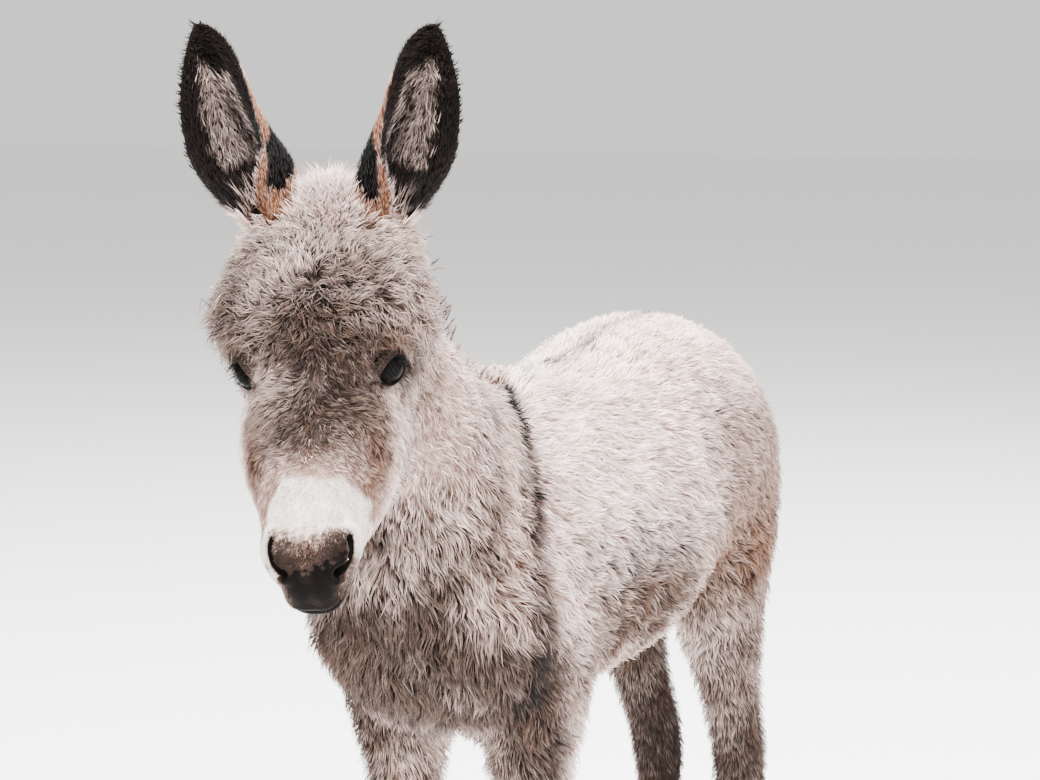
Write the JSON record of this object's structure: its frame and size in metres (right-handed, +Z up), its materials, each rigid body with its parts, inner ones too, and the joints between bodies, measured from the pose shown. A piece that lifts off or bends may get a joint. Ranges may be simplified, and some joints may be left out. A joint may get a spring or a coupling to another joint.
{
  "type": "donkey foal figure",
  "caption": "Life-size young grey donkey in a woolly coat, standing, head turned to its left, ears upright.",
  "frame": {"origin": "on the floor, under the middle of the part's own box", "axes": "+Z up, -Y towards the muzzle, +X towards the animal's left side"},
  "size_m": [0.278, 0.971, 1.082],
  "materials": {
    "coat": "dense woolly winter coat, matt",
    "face_coat": "short to woolly hair, matt",
    "ear_coat": "short dark hair with long pale hair inside, matt",
    "mane_hair": "upright coarse hair, matt",
    "brush_hair": "long coarse hair, matt",
    "hoof": "horn, satin",
    "eye": "wet, polished"
  },
  "bodies": {
    "root": {"hoof_foreleg_left": "hoof", "hoof_foreleg_right": "hoof", "hoof_hindleg_left": "hoof", "hoof_hindleg_right": "hoof", "foreleg_left": "coat", "foreleg_right": "coat", "hindleg_left": "coat", "hindleg_right": "coat", "trunk": "coat", "neck": "coat", "mane": "mane_hair", "head": "face_coat", "forelock": "mane_hair", "eye_left": "eye", "eye_right": "eye", "ear_left": "ear_coat", "ear_right": "ear_coat", "tail": "coat", "tail_brush": "brush_hair"}
  },
  "joints": []
}
